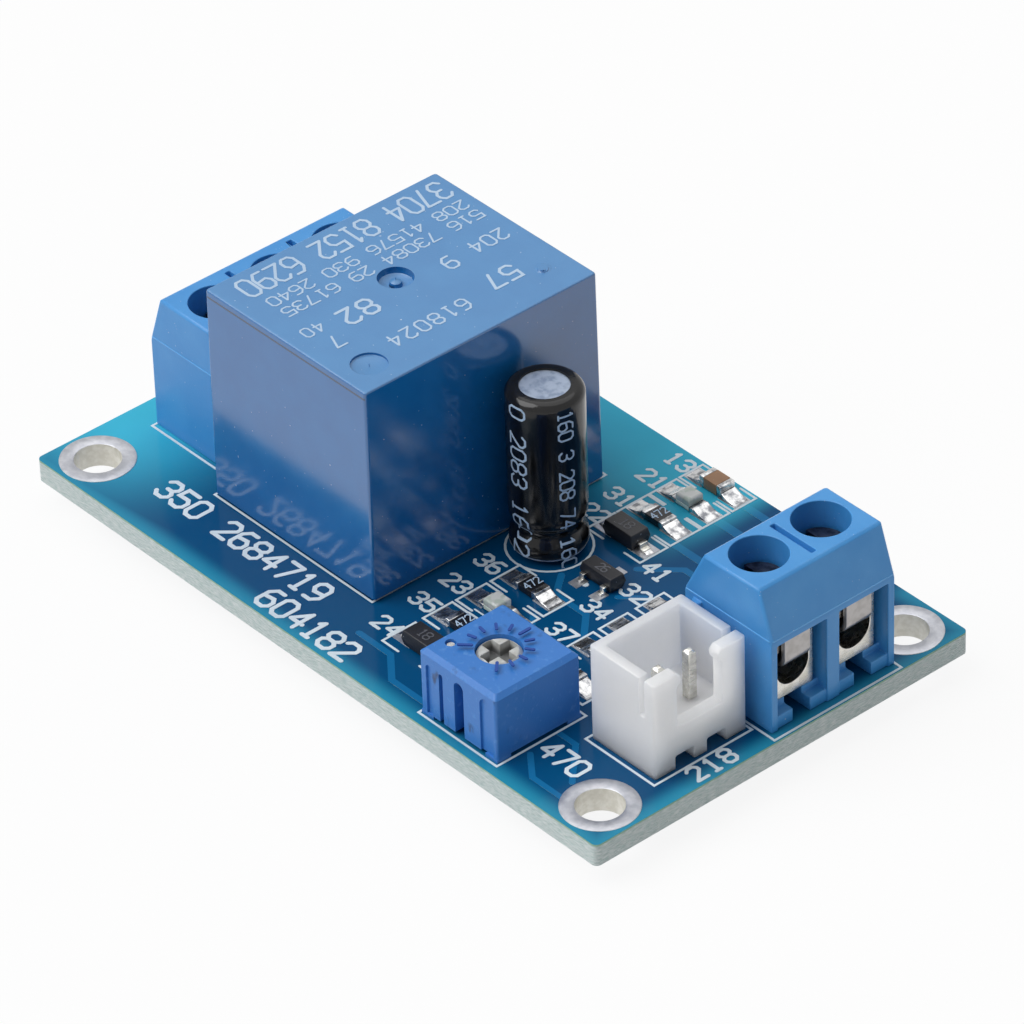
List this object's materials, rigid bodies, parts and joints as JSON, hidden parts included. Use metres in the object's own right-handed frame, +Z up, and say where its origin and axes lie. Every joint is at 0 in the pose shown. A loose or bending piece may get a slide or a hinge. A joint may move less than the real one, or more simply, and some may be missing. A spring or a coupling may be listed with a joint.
{
  "type": "light sensor module",
  "caption": "Small relay circuit board with screw terminals, a plug header for a light sensor, a trimmer and mounting holes in its corners.",
  "frame": {"origin": "under the board's centre, at the level of the trimmed lead tips that the module rests on", "axes": "+X along the board's long edge, from the three-way terminal to the two-way terminal; +Y along its short edge, away from the edge with the trimmer; +Z up out of the board's face with the parts"},
  "size_m": [0.0536, 0.0306, 0.0192],
  "materials": {
    "solder_mask": "glossy blue-green coated glass-fibre board with pale cut edges",
    "tinned_copper": "dull tinned copper",
    "solder": "bright solder",
    "tinned_leads": "tinned leads, cut off under the board",
    "relay_blue": "satin mid-blue moulding",
    "relay_potting": "dark sealed underside",
    "terminal_blue": "sky-blue moulding",
    "clamp_plating": "nickel-plated clamp cage and pin",
    "leaf_steel": "satin sheet-steel leaf",
    "screw_steel": "plated slotted screw",
    "header_white": "milky white moulding",
    "trimmer_blue": "cobalt-blue moulding",
    "rotor_white": "off-white rotor",
    "sleeve_black": "glossy black shrink sleeve",
    "can_aluminium": "plain aluminium can",
    "bung_rubber": "black rubber seal",
    "chip_black": "dark glaze",
    "chip_ceramic": "tan ceramic",
    "led_base": "pale laminate",
    "led_lens": "clear to milky lens",
    "moulding_black": "black epoxy moulding"
  },
  "bodies": {
    "module": {"circuit_board": "solder_mask", "mounting_hole_rings": "tinned_copper", "underside_solder": "solder", "relay_cover": "relay_blue", "relay_base": "relay_potting", "relay_pins": "tinned_leads", "two_way_housing": "terminal_blue", "two_way_clamps": "clamp_plating", "three_way_housing": "terminal_blue", "three_way_clamps": "clamp_plating", "header_housing": "header_white", "header_pins": "tinned_leads", "trimmer_housing": "trimmer_blue", "trimmer_leads": "tinned_leads", "capacitor_can": "can_aluminium", "capacitor_sleeve": "sleeve_black", "capacitor_bung": "bung_rubber", "capacitor_leads": "tinned_leads", "surface_pads": "tinned_copper", "surface_solder": "solder", "resistor_bodies": "chip_black", "resistor_ends": "solder", "led_bases": "led_base", "led_ends": "solder", "led_lenses": "led_lens", "ceramic_body": "chip_ceramic", "ceramic_ends": "solder", "diode_bodies": "moulding_black", "diode_leads": "tinned_leads", "transistor_body": "moulding_black", "transistor_leads": "tinned_leads"},
    "two_way_leaf_1": {"two_way_leaf_1": "leaf_steel"},
    "two_way_screw_1": {"two_way_screw_1": "screw_steel"},
    "two_way_leaf_2": {"two_way_leaf_2": "leaf_steel"},
    "two_way_screw_2": {"two_way_screw_2": "screw_steel"},
    "three_way_leaf_1": {"three_way_leaf_1": "leaf_steel"},
    "three_way_screw_1": {"three_way_screw_1": "screw_steel"},
    "three_way_leaf_2": {"three_way_leaf_2": "leaf_steel"},
    "three_way_screw_2": {"three_way_screw_2": "screw_steel"},
    "three_way_leaf_3": {"three_way_leaf_3": "leaf_steel"},
    "three_way_screw_3": {"three_way_screw_3": "screw_steel"},
    "trimmer_rotor": {"trimmer_rotor": "rotor_white"}
  },
  "joints": [
    {"name": "two_way_leaf_1_slide", "type": "slide", "parent": "module", "child": "two_way_leaf_1", "axis": [0, 0, 1], "range_m": [-0.001, 0.0005]},
    {"name": "two_way_screw_1_turn", "type": "hinge", "parent": "two_way_leaf_1", "child": "two_way_screw_1", "pos_m": [0.0222, 0.00722, 0.0074], "axis": [0, 0, 1], "range_deg": [-720, 360]},
    {"name": "two_way_leaf_2_slide", "type": "slide", "parent": "module", "child": "two_way_leaf_2", "axis": [0, 0, 1], "range_m": [-0.001, 0.0005]},
    {"name": "two_way_screw_2_turn", "type": "hinge", "parent": "two_way_leaf_2", "child": "two_way_screw_2", "pos_m": [0.0222, 0.00214, 0.0074], "axis": [0, 0, 1], "range_deg": [-720, 360]},
    {"name": "three_way_leaf_1_slide", "type": "slide", "parent": "module", "child": "three_way_leaf_1", "axis": [0, 0, 1], "range_m": [-0.001, 0.0005]},
    {"name": "three_way_screw_1_turn", "type": "hinge", "parent": "three_way_leaf_1", "child": "three_way_screw_1", "pos_m": [-0.0206, -0.00481, 0.0074], "axis": [0, 0, 1], "range_deg": [-720, 360]},
    {"name": "three_way_leaf_2_slide", "type": "slide", "parent": "module", "child": "three_way_leaf_2", "axis": [0, 0, 1], "range_m": [-0.001, 0.0005]},
    {"name": "three_way_screw_2_turn", "type": "hinge", "parent": "three_way_leaf_2", "child": "three_way_screw_2", "pos_m": [-0.0206, 0.00027, 0.0074], "axis": [0, 0, 1], "range_deg": [-720, 360]},
    {"name": "three_way_leaf_3_slide", "type": "slide", "parent": "module", "child": "three_way_leaf_3", "axis": [0, 0, 1], "range_m": [-0.001, 0.0005]},
    {"name": "three_way_screw_3_turn", "type": "hinge", "parent": "three_way_leaf_3", "child": "three_way_screw_3", "pos_m": [-0.0206, 0.00535, 0.0074], "axis": [0, 0, 1], "range_deg": [-720, 360]},
    {"name": "trimmer_turn", "type": "hinge", "parent": "module", "child": "trimmer_rotor", "pos_m": [0.01336, -0.01102, 0.0073], "axis": [0, 0, 1], "range_deg": [-130, 130]}
  ],
  "couplings": [
    {"joint": "two_way_screw_1_turn", "follows": "two_way_leaf_1_slide", "rad_per_m": 12566},
    {"joint": "two_way_screw_2_turn", "follows": "two_way_leaf_2_slide", "rad_per_m": 12566},
    {"joint": "three_way_screw_1_turn", "follows": "three_way_leaf_1_slide", "rad_per_m": 12566},
    {"joint": "three_way_screw_2_turn", "follows": "three_way_leaf_2_slide", "rad_per_m": 12566},
    {"joint": "three_way_screw_3_turn", "follows": "three_way_leaf_3_slide", "rad_per_m": 12566}
  ]
}
